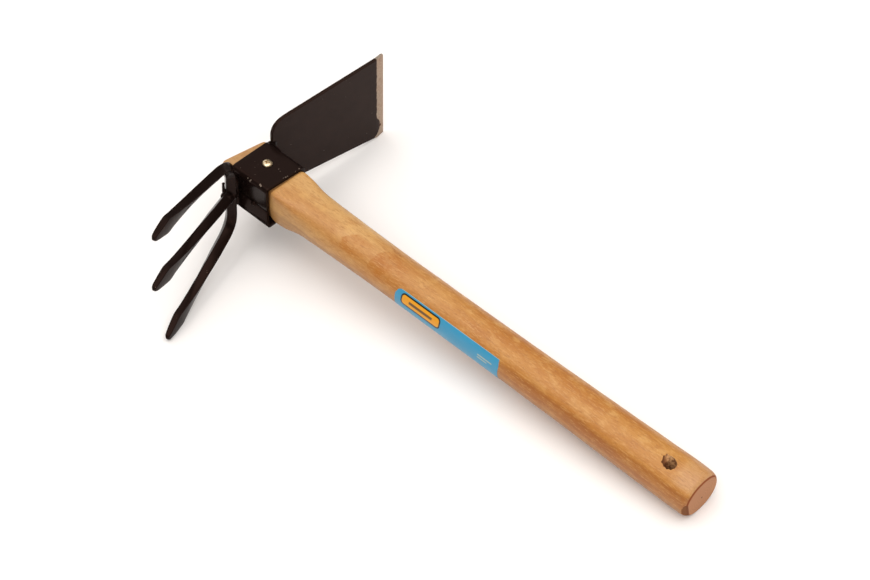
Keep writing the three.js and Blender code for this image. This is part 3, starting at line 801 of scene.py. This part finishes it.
def make_socket():
    """The strip was sheared a little out of square, and its butt end is drawn back on the tine side."""
    course = strip_course()
    shares = np.linspace(0, 1, 17)
    points, faces = [], []
    for share in shares:
        for y, z in course:
            shear = socket_skew * (socket_half_width - y) * (0.1 + 0.9 * z / top_side)
            across = (socket_half_width - y) / (2 * socket_half_width)
            drawn_back = corner_draw_back * across if z > seam_height else 0.0
            if y < -socket_half_width + sheet:
                reach = lip_draw_above if z > seam_height else lip_draw_below
                share_of_lip = 1 - min(1, abs(z - seam_height) / reach)
                drawn_back += (lip_draw_back - drawn_back) * share_of_lip
            x = head_end + shear + share * (socket_length - drawn_back)
            swell = 1 + 0.1 * wobble((x, y, z), 11, 4) / 17
            points.append((x, y * swell, z * swell))
    rows = len(course)
    for column in range(len(shares) - 1):
        for row in range(rows - 1):
            a = column * rows + row
            faces.append((a, a + 1, a + rows + 1, a + rows))
    socket = thing_from("folded_socket", points, faces)
    modify(socket, "SOLIDIFY", thickness=sheet * MM, offset=0)
    modify(socket, "BEVEL", width=sheet_edge_round * MM, segments=3, limit_method="ANGLE",
           angle_limit=math.radians(50))
    modify(socket, "WEIGHTED_NORMAL", keep_sharp=True)
    apply_modifiers(socket)
    return socket


dress(make_socket(), [lacquer], "black_lacquer", "socket", sharp=60)


# ---------------------------------------------------------------- blade
blade_along = Vector((math.sin(blade_tilt), math.cos(blade_tilt), 0))
blade_facing = Vector((math.cos(blade_tilt), -math.sin(blade_tilt), 0))
BLADE = Matrix((blade_along, blade_facing, Vector((0, 0, 1)))).transposed().to_4x4()
BLADE.translation = Vector((head_end, socket_half_width + blade_root_gap, blade_rise))


def blade_half(reach):
    return blade_root_half + (blade_edge_half - blade_root_half) * reach / blade_reach


def corner_curve(start, control_a, control_b, end, steps):
    """Points of a cubic curve, its ends included."""
    curve = []
    for step in range(steps + 1):
        t = step / steps
        weights = ((1 - t) ** 3, 3 * t * (1 - t) ** 2, 3 * t * t * (1 - t), t**3)
        curve.append(tuple(sum(w * p[axis] for w, p in zip(weights, (start, control_a, control_b, end)))
                           for axis in range(2)))
    return curve


def make_blade():
    corner, pull = blade_root_corner, blade_root_corner / 3
    ground = blade_reach - blade_bevel
    upper = corner_curve((0, blade_root_half - corner), (0, blade_root_half - pull),
                         (pull, blade_half(pull)), (corner, blade_half(corner)), 14)
    tip_start = blade_reach - blade_edge_corner
    tip = corner_curve((tip_start, blade_half(tip_start)), (blade_reach - 1, blade_half(blade_reach)),
                       (blade_reach, blade_half(blade_reach) - 1),
                       (blade_reach, blade_edge_half - blade_edge_corner), 6)
    lower = [(s, -h) for s, h in reversed(upper)]
    body = upper + [(ground, blade_half(ground)), (ground, -blade_half(ground))] + lower
    edge = tip + [(blade_reach, -blade_edge_half)]
    mesh = bmesh.new()

    def skin(s):
        """Where the butt-facing side is, which is ground down towards the cutting edge."""
        return np.interp(s, [ground, blade_reach], [blade_thickness, blade_edge_thickness])

    front = {point: mesh.verts.new((point[0], skin(point[0]), point[1])) for point in body + edge}
    back = {point: mesh.verts.new((point[0], 0, point[1])) for point in body + edge}
    split = len(upper)
    outline = body[:split + 1] + edge + body[split + 1:]
    mesh.faces.new([front[point] for point in body])
    mesh.faces.new([front[point] for point in [body[split]] + edge + [body[split + 1]]])
    mesh.faces.new([back[point] for point in reversed(outline)])
    for a, b in zip(outline, outline[1:] + outline[:1]):
        mesh.faces.new((front[a], back[a], back[b], front[b]))
    bmesh.ops.recalc_face_normals(mesh, faces=mesh.faces)
    rims = []
    for line in mesh.edges:
        ends = [vertex.co for vertex in line.verts]
        steep = len(line.link_faces) == 2 and line.calc_face_angle() > math.radians(60)
        flat = abs(ends[0].y - ends[1].y) < 0.1
        if steep and flat and max(end.x for end in ends) <= ground + 0.01:
            rims.append(line)
    bmesh.ops.bevel(mesh, geom=rims, offset=blade_rim_round, segments=4, profile=0.5, affect="EDGES")
    data = bpy.data.meshes.new("hoe_blade")
    mesh.transform(TOOL @ BLADE)
    mesh.to_mesh(data)
    mesh.free()
    return placed("hoe_blade", data)


blade = dress(make_blade(), [blade_look], "black_lacquer", "blade", local=BLADE, sharp=28)
modify(blade, "WEIGHTED_NORMAL", keep_sharp=True)


# ---------------------------------------------------------------- fork
fork_along = Vector((math.sin(fork_sweep), -math.cos(fork_sweep), 0))
fork_facing = Vector((-fork_along.y, fork_along.x, 0))


def quadratic(start, control, end, steps):
    return [start.lerp(control, t).lerp(control.lerp(end, t), t) for t in np.linspace(0, 1, steps)]


def evenly(points, step):
    """The same line with its points about `step` apart."""
    reach = np.concatenate([[0], np.cumsum([(b - a).length for a, b in zip(points, points[1:])])])
    places = np.linspace(0, reach[-1], round(reach[-1] / step) + 1)
    columns = [np.interp(places, reach, [point[axis] for point in points]) for axis in range(3)]
    return [Vector(point) for point in zip(*columns)], places, reach[-1]


def outer_tine(tine, side):
    """The bent bar's middle line from the crossbar's middle to a tip, on one side of it."""
    corner = crossbar + Vector((side * crossbar_lean, side * crossbar_lean, side * bend_height))
    tip = crossbar + fork_along * tine["reach"] + Vector((0, 0, side * tine["height"]))
    control = corner.lerp(tip, 0.5) + Vector((0, 0, side * 2 * tine["bow"]))
    line = quadratic(corner, control, tip, 80)
    turned = [point for point in line if (point - corner).length > tine["bend"]]
    bend_start = corner - Vector((0, 0, side * tine["bend"]))
    return [crossbar.copy()] + quadratic(bend_start, corner, turned[0], 14) + turned[1:]


def bar_ring(centre, across, facing, width, depth, seed):
    """A square section with rounded corners."""
    radius = min(bar_corner, 0.4 * min(width, depth))
    ring = []
    for quarter in range(4):
        first = quarter * math.pi / 2
        towards = (1 if quarter in (0, 3) else -1, 1 if quarter < 2 else -1)
        for step in range(6):
            angle = first + math.pi / 2 * step / 5
            f = towards[0] * (depth / 2 - radius) + radius * math.cos(angle)
            a = towards[1] * (width / 2 - radius) + radius * math.sin(angle)
            hammered = 0.1 * wobble(centre + 3 * Vector((f, a, 0)), 7, seed)
            ring.append(centre + facing * (f + hammered) + across * (a + hammered))
    return ring


def forge(name, points, facing, sizes, twists, seed):
    """A bar along points. Each point has its section's width and depth, and its twist in degrees."""
    rings = []
    for index, point in enumerate(points):
        before, after = points[max(index - 1, 0)], points[min(index + 1, len(points) - 1)]
        along = (after - before).normalized()
        width, depth = sizes[index]
        turned = Matrix.Rotation(-math.radians(twists[index]), 3, along) @ facing
        rings.append(bar_ring(point, along.cross(turned), turned, width, depth, seed))
    return thing_from(name, *loft(rings))


def with_fine_tips(places, total, both):
    """Places along a bar with more of them near its forged tips."""
    tips = np.array([0, 0.25, 0.6, 1.0, 1.5, 2.2])
    ends = [total - tips] + ([tips] if both else [])
    inner = [place for place in places if place < total - 3 and (place > 3 or not both)]
    return np.unique(np.concatenate([inner] + ends))


def make_fork():
    upper = outer_tine(upper_tine, 1)
    lower = outer_tine(lower_tine, -1)
    line, places, total = evenly(list(reversed(lower)) + upper[1:], 1.4)
    fine = with_fine_tips(places, total, True)
    points = [Vector([np.interp(place, places, [p[axis] for p in line]) for axis in range(3)])
              for place in fine]
    # The upper tine's section is a quarter turn on, so its width and depth change places.
    stations = [
        (twist_start, 0), (lower_tine["twisted"], lower_tine["twist"]),
        (tine_twist_ends, lower_tine["twist"]), (crossbar_twist_starts, crossbar_twist),
        (total - crossbar_twist_starts, crossbar_twist), (total - tine_twist_ends, 90 - upper_tine["twist"]),
        (total - upper_tine["twisted"], 90 - upper_tine["twist"]), (total - twist_start, 90),
    ]
    twists = [-straight_through(stations, place)[0] for place in fine]
    sizes = []
    for place in fine:
        width, depth = straight_through(tine_end, min(place, total - place))
        sizes.append((width, depth) if place < total / 2 else (depth, width))
    return forge("fork_bar_forged", points, fork_facing, sizes, twists, 5)


def make_middle_tine():
    along = (middle_tip - crossbar).normalized()
    root = crossbar + along * (bar_size / 2 - 0.6) + fork_facing * 0.4
    total = (middle_tip - root).length
    fine = with_fine_tips(np.linspace(0, total, 60), total, False)
    points = [root + along * place for place in fine]
    facing = Vector((-along.y, along.x, 0))
    sizes = [straight_through(tine_end, total - place) for place in fine]
    twists = [middle_twist * float(np.interp(total - place, [twist_start, middle_twisted], [0, 1]))
              for place in fine]
    return forge("middle_tine_forged", points, facing, sizes, twists, 6)


dress(make_fork(), [lacquer], "black_lacquer", "fork_bar", sharp=50)
dress(make_middle_tine(), [lacquer], "black_lacquer", "middle_tine", sharp=50)


# ---------------------------------------------------------------- welds
def make_weld(name, spokes, course, seed, lump=0.35, ripple=1.7, wave=0.09):
    """A weld run along a course: its section swells and sinks in ripples, and tapers at both ends."""
    rings = []
    total = len(course) - 1
    travelled = 0
    for index, centre in enumerate(course):
        share = index / total
        travelled += (centre - course[max(index - 1, 0)]).length
        size = min(1, 0.35 + 3.4 * math.sqrt(max(0, min(share, 1 - share))))
        size *= 1 + wave * (math.sin(travelled * TURN / ripple) + 1.3 * wobble(centre, 4, seed))
        ring = []
        for spoke in spokes:
            rough = 1 + lump * wobble(centre + spoke * 2, 2.6, seed + 1) * 0.5
            ring.append(centre + spoke * size * rough)
        rings.append(ring)
    return thing_from(name, *loft(rings))


def oval_section(first, second, sides=18):
    """Spokes of an oval whose half axes are two vectors."""
    return [first * math.cos(angle) + second * math.sin(angle) for angle in turns(sides)]


def straight(start, end, steps):
    return [start.lerp(end, t) for t in np.linspace(0, 1, steps)]


def blade_front_x(y):
    rise = math.sin(blade_tilt) * (y - socket_half_width - blade_root_gap)
    return head_end + (blade_thickness + rise) / math.cos(blade_tilt)


def make_blade_fillet():
    """The hollow fillet in the corner between the socket's side and the blade."""
    wall = socket_half_width
    foot = blade_front_x(wall)
    # The hollow face runs from the socket's side up the blade. The rest is sunk into them.
    hollow = corner_curve((foot + 9.6, wall), (foot + 3.4, wall + 0.5), (foot + 0.7, wall + 1.4),
                          (foot + 0.6, wall + 4.4), 8)
    in_socket = [(foot - 1, wall - 0.6), (foot + 9, wall - 0.6)]
    in_blade = [(foot - 0.4, wall + 4.6), (foot - 1, wall + 2)]
    profile = in_socket + hollow + in_blade
    middle_x, middle_y = foot + 1.0, wall + 0.5
    spokes = [Vector((x - middle_x, y - middle_y, 0)) for x, y in profile]
    course = straight(Vector((middle_x, middle_y, 0.7 - top_side)),
                      Vector((middle_x, middle_y, top_side - 0.9)), 46)
    return make_weld("blade_fillet_weld", spokes, course, 8, lump=0.15, ripple=2.6)


def make_blade_bead():
    centre_y = socket_half_width + 0.4
    section = oval_section(Vector((1.6, 0, 0)), Vector((0, 2.3, 0)))
    course = straight(Vector((head_end - 0.1, centre_y, 2 - top_side)),
                      Vector((head_end - 0.1, centre_y, top_side - 2)), 40)
    return make_weld("blade_back_weld", section, course, 9)


def make_fork_weld():
    centre = crossbar + fork_along * (-bar_size / 2 - 0.6) + Vector((-1, 0.6, 0))
    section = oval_section(Vector((4.4, 0.6, 0)), Vector((-0.6, 2.6, 0)))
    course = straight(centre + Vector((0.4, 0, -13.5)), centre + Vector((0.4, 0, 10)), 36)
    return make_weld("fork_weld_run", section, course, 10, lump=0.1, ripple=9, wave=0.04)


def make_collar():
    """A ring of weld round the middle tine's root."""
    along = (middle_tip - crossbar).normalized()
    facing = Vector((-along.y, along.x, 0))
    centre = crossbar + along * (bar_size / 2 + 1.1)
    rings = []
    around, across_ring = 36, 12
    for step in range(around + 1):
        turn = TURN * step / around
        c, s = math.cos(turn), math.sin(turn)
        out = facing * math.copysign(abs(c) ** 0.5, c) + Vector((0, 0, math.copysign(abs(s) ** 0.5, s)))
        path = centre + out * 2.7
        swell = 1 + 0.3 * wobble(path, 3, 12) + 0.1 * math.sin(9 * turn)
        ring = []
        for angle in turns(across_ring):
            ring.append(path + (out * 1.45 * math.cos(angle) + along * 2.4 * math.sin(angle)) * swell)
        rings.append(ring)
    return thing_from("middle_tine_collar_weld", *loft(rings))


def make_spatter_horn():
    """A curl of spatter with a small ball at its end, which stands off the collar."""
    foot = crossbar + Vector((-1.2, -4.5, 4.6))
    line = quadratic(foot, foot + Vector((-0.7, -0.6, 3.5)), foot + Vector((0.2, -0.5, 9)), 18)
    # Share of its length and its radius there.
    thinning = [(0, 1.7), (0.3, 1.15), (0.7, 0.9), (0.84, 0.85), (0.92, 1.15), (0.97, 0.95), (1, 0.45)]
    rings = []
    for index, centre in enumerate(line):
        share = index / (len(line) - 1)
        radius, = straight_through(thinning, share)
        rings.append([centre + Vector((math.cos(angle), math.sin(angle), 0)) * radius
                      for angle in turns(12)])
    return thing_from("collar_spatter_horn", *loft(rings))


def make_bead(name, foot, axis, radius, height, seed):
    """A lumpy dome of weld on a foot."""
    side = axis.orthogonal().normalized()
    other = axis.cross(side)
    rings = []
    for lift in (-0.35, 0, 0.3, 0.55, 0.75, 0.9, 0.975):
        reach = radius * math.sqrt(1 - max(lift, 0) ** 2)
        ring = []
        for angle in turns(22):
            out = side * math.cos(angle) + other * math.sin(angle)
            rough = 1 + 0.16 * wobble(foot + out * reach + axis * lift * 3, 2.2, seed)
            ring.append(foot + out * reach * rough + axis * (lift * height * rough))
        rings.append(ring)
    return thing_from(name, *loft(rings))


def dress_weld(weld, *nodes, look=lacquer):
    dress(weld, [look], "black_lacquer", *nodes, sharp=60)


# The blade's fillet takes the lacquer copy that is darkened to painted shade.
dress_weld(make_blade_fillet(), "blade_weld_front", look=fillet_painted_shade_look)
dress_weld(make_blade_bead(), "blade_weld_back")
dress_weld(make_fork_weld(), "fork_weld")
dress_weld(make_collar(), "middle_tine_weld")
dress_weld(make_spatter_horn())
crossbar_face = crossbar + fork_facing * (bar_size / 2 - 0.1)
crossbar_bead = make_bead("crossbar_weld_bead", crossbar_face, fork_facing, radius=3.1, height=1.6, seed=13)
dress_weld(crossbar_bead, "crossbar_bead")
seam_foot = Vector((2, 0.1 - socket_half_width, -5.5))
seam_bead = make_bead("seam_weld_bead", seam_foot, Vector((0, -1, 0)), radius=2.3, height=1.9, seed=14)
dress_weld(seam_bead, "seam_weld")


# ---------------------------------------------------------------- screw
def make_screw():
    """A pan head on a tapered shank, with a burred cross recess."""
    # Radius and height, from the shank's foot up to the middle of the head.
    profile = [(1.6, -14), (1.9, -10), (1.9, 0), (3.2, 0), (3.5, 0.2), (3.6, 0.55), (3.5, 0.95),
               (3.2, 1.35), (2.7, 1.7), (2.0, 1.95), (1.2, 2.08), (0.3, 2.1)]
    rings = []
    for radius, height in profile:
        rings.append([screw_place + Vector((radius * math.cos(angle), radius * math.sin(angle), height))
                      for angle in turns(40)])
    screw = thing_from("cross_head_screw", *loft(rings))
    # Height, half length and half width of each arm of the cross, from its bottom up.
    recess = [(0.5, 0.7, 0.32), (1.6, 1.75, 0.46), (3.2, 2.5, 0.62)]
    for turn in (math.radians(24), math.radians(114)):
        along = Vector((math.cos(turn), math.sin(turn), 0))
        beside = Vector((-along.y, along.x, 0))
        rings = []
        for height, half_length, half_width in recess:
            centre = screw_place + Vector((0, 0, height))
            ring = [centre + along * (a * half_length) + beside * (b * half_width)
                    for a, b in ((1, 1), (0, 1.5), (-1, 1), (-1, -1), (0, -1.5), (1, -1))]
            rings.append(ring)
        cut(screw, thing_from("recess_cutter", *loft(rings)))
    return screw


dress(make_screw(), [plating], "yellow_zinc", "screw", sharp=35)


# ---------------------------------------------------------------- label
def make_label():
    """A thin film laid on the handle. Its `place` is X from its head end and Y up from its middle."""
    columns, rows = 64, 26
    points, faces = [], []
    for column in range(columns + 1):
        x = label_start + (label_end - label_start) * column / columns
        near_end = min(x - label_start, (label_end - x) * 3.5)
        cut_in = label_corner - math.sqrt(max(0, label_corner**2 - max(0, label_corner - near_end) ** 2))
        margin = math.degrees(cut_in / label_radius)
        for row in range(rows + 1):
            angle = label_bottom - margin + (label_top - label_bottom + 2 * margin) * row / rows
            lift = film_lift + 0.02 * wobble((x, angle, 0), 9, 15)
            points.append(handle_point(x, math.radians(angle), lift))
    side = rows + 1
    for column in range(columns):
        for row in range(rows):
            a = column * side + row
            faces.append((a, a + side, a + side + 1, a + 1))
    label = thing_from("label_film", points, faces)
    modify(label, "SOLIDIFY", thickness=film_thickness * MM, offset=-1)
    apply_modifiers(label)
    dress(label, [film], "printed_film", "label", sharp=50)
    for vertex, holder in zip(label.data.vertices, label.data.attributes["place"].data):
        spot = TOOL.inverted() @ vertex.co
        angle = math.degrees(math.atan2(spot.z, spot.y)) % 360
        up = (film_middle_angle - angle) * math.radians(1) * label_radius
        holder.vector = (spot.x - label_start, up, 0)
    return label


make_label()


# ---------------------------------------------------------------- floor, light and camera
def make_floor():
    half = 4.0
    mesh = bpy.data.meshes.new("floor")
    corners = [(-half, -half, 0), (half, -half, 0), (half, half, 0), (-half, half, 0)]
    mesh.from_pydata(corners, [], [(0, 1, 2, 3)])
    mesh.materials.append(make_floor_look())
    floor = placed("floor", mesh)


def make_sky():
    """A studio room: bright low down all round, and darker overhead."""
    world = bpy.data.worlds.new("studio")
    bpy.context.scene.world = world
    world.use_nodes = True
    tree = world.node_tree
    coordinate = tree.nodes.new("ShaderNodeTexCoord")
    parts = tree.nodes.new("ShaderNodeSeparateXYZ")
    ramp = tree.nodes.new("ShaderNodeValToRGB")
    tree.links.new(coordinate.outputs["Generated"], parts.inputs[0])
    tree.links.new(parts.outputs["Z"], ramp.inputs["Fac"])
    tree.links.new(ramp.outputs["Color"], tree.nodes["Background"].inputs["Color"])
    stops = [(0.0, 0.9), (0.03, 0.6), (0.15, 0.15), (0.5, 0.15), (0.74, 0.95)]
    while len(ramp.color_ramp.elements) < len(stops):
        ramp.color_ramp.elements.new(0.5)
    for element, (place, level) in zip(ramp.color_ramp.elements, stops):
        element.position = place
        element.color = (level, 0.95 * level, 0.91 * level, 1)
    tree.nodes["Background"].inputs["Strength"].default_value = 1.0


def make_softbox(name, place, size, power):
    data = bpy.data.lights.new(name, "AREA")
    data.shape = "RECTANGLE"
    data.size, data.size_y = size
    data.energy = power
    light = placed(name, data)
    light.location = place
    light.rotation_mode = "QUATERNION"
    light.rotation_quaternion = (-Vector(place)).to_track_quat("-Z", "Y")


def make_camera():
    """A long lens, looking down over the butt's side of the tool. Angles and places are the tool's."""
    azimuth, elevation, roll = (math.radians(angle) for angle in (41.92, 49.58, 1.46))
    place = Vector((837.6, -762.0, 1215.2))
    right = Vector((math.cos(azimuth), math.sin(azimuth), 0))
    back = Vector((math.sin(azimuth) * math.cos(elevation), -math.cos(azimuth) * math.cos(elevation),
                   math.sin(elevation)))
    up = back.cross(right)
    columns = (right * math.cos(roll) + up * math.sin(roll), up * math.cos(roll) - right * math.sin(roll),
               back)
    pose = TOOL @ (Matrix.Translation(place) @ Matrix(columns).transposed().to_4x4())
    data = bpy.data.cameras.new("camera")
    data.sensor_width = 36
    data.lens = 100.79
    data.clip_start, data.clip_end = 0.05, 20
    camera = placed("camera", data)
    camera.rotation_mode = "QUATERNION"
    camera.location = pose.translation
    camera.rotation_quaternion = pose.to_quaternion()
    bpy.context.scene.camera = camera


make_floor()
make_sky()
make_softbox("key_softbox", (0.5, -0.3, 1.9), (3.1, 3.1), 46)
make_softbox("side_softbox", (-1.5, 0.5, 0.9), (0.9, 0.7), 3)
make_camera()
bpy.context.scene.view_settings.view_transform = "Standard"
